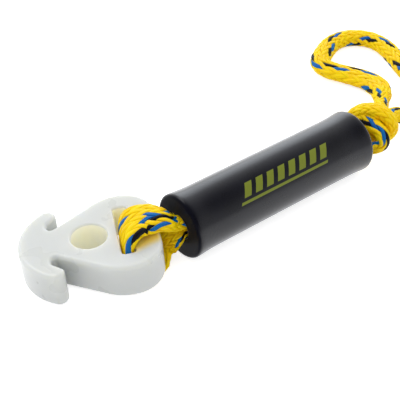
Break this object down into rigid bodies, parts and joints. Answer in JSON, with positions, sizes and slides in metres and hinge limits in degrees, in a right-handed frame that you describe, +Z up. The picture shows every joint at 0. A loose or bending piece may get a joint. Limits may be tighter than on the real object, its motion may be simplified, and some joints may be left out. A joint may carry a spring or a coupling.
{
  "type": "tow rope quick connector",
  "caption": "Plastic hook plate on a braided rope bight whose two legs run through a foam float, knotted behind it and ending in a free loop.",
  "frame": {"origin": "on the ground under the middle of the foam float's length", "axes": "+X along the float from the hook plate to the knot, +Y across, +Z up from the surface that it lies on"},
  "size_m": [0.3467, 0.1386, 0.0381],
  "materials": {
    "white_plastic": "natural white polyethylene, satin, slightly translucent",
    "black_foam": "matt closed-cell foam with a lime band print",
    "yellow_rope": "hollow braid of satin filaments with blue and black tracer yarns"
  },
  "bodies": {
    "rope": {"rope_bight": "yellow_rope", "rope_neck_upper": "yellow_rope", "rope_neck_lower": "yellow_rope", "rope_leg_upper": "yellow_rope", "rope_leg_lower": "yellow_rope", "rope_knot": "yellow_rope", "rope_loop": "yellow_rope"},
    "connector": {"connector_plate": "white_plastic"},
    "float": {"foam_float": "black_foam"}
  },
  "joints": [
    {"name": "connector_swing", "type": "hinge", "parent": "rope", "child": "connector", "pos_m": [-0.0869, 0.00635, 0.01542], "axis": [0.4473, 0.8944, 0], "range_deg": [-40, 40], "deforming": ["rope_bight", "rope_neck_upper", "rope_neck_lower"]},
    {"name": "float_spin", "type": "hinge", "parent": "rope", "child": "float", "pos_m": [0, 0, 0.01905], "axis": [1, 0, 0], "continuous": true}
  ]
}
